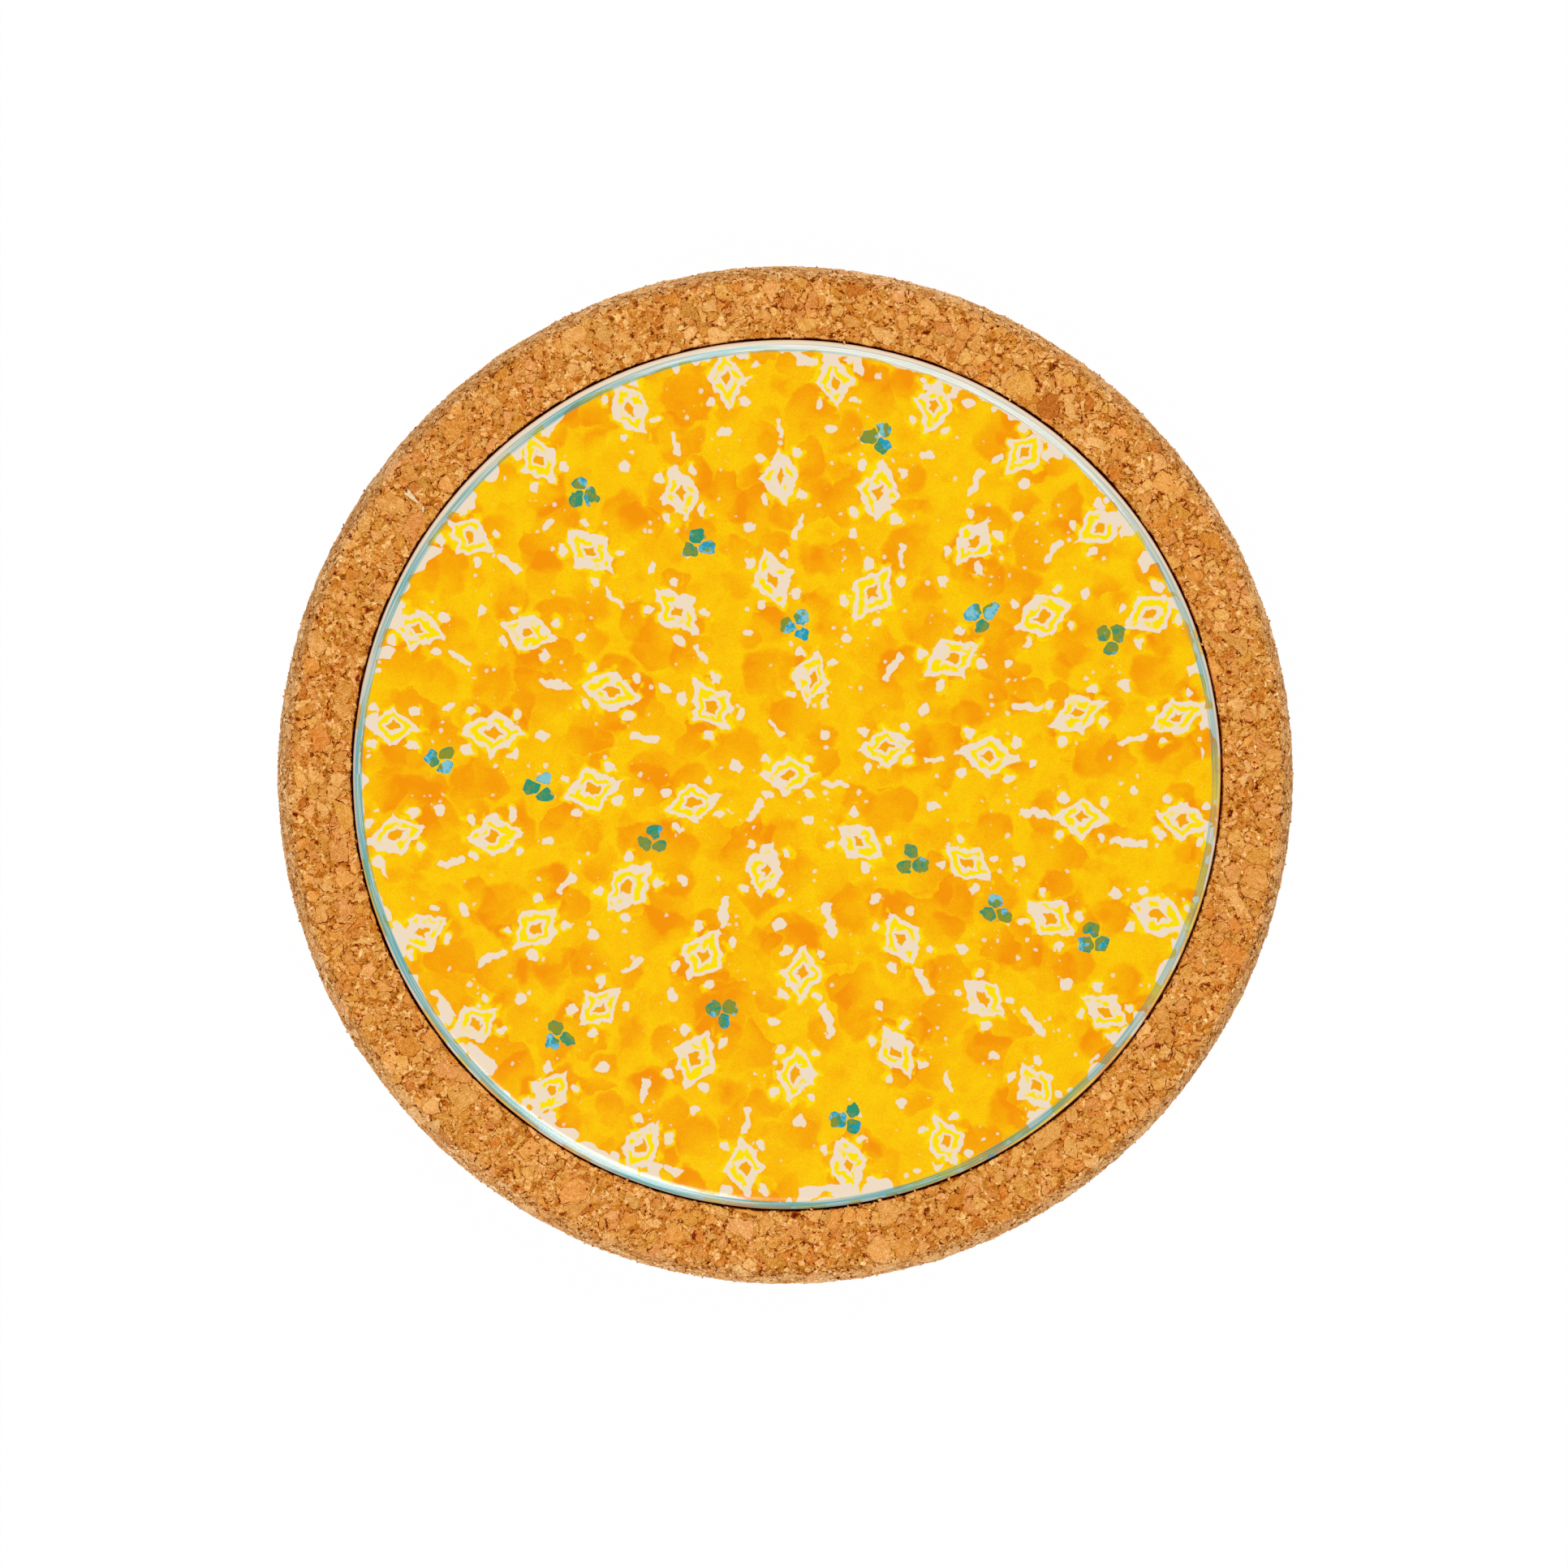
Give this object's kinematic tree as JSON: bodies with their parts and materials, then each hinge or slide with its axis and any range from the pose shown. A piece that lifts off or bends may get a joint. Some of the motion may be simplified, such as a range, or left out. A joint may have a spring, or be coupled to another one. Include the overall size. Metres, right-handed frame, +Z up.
{
  "type": "trivet",
  "caption": "Round trivet: a glazed ceramic tile with a ribbed back, bonded into the recess of a turned agglomerated-cork base with a rounded side.",
  "frame": {"origin": "centre of the cork base's underside, where it stands on the table", "axes": "+Z up through the middle of the tile, along the turning axis; +Y is the top of the picture and +X its right"},
  "size_m": [0.1999, 0.2, 0.0186],
  "materials": {
    "cork": "matte",
    "glaze": "gloss",
    "adhesive": "satin"
  },
  "bodies": {
    "root": {"cork_base": "cork", "ceramic_tile": "glaze", "adhesive_dabs": "adhesive"}
  },
  "joints": []
}
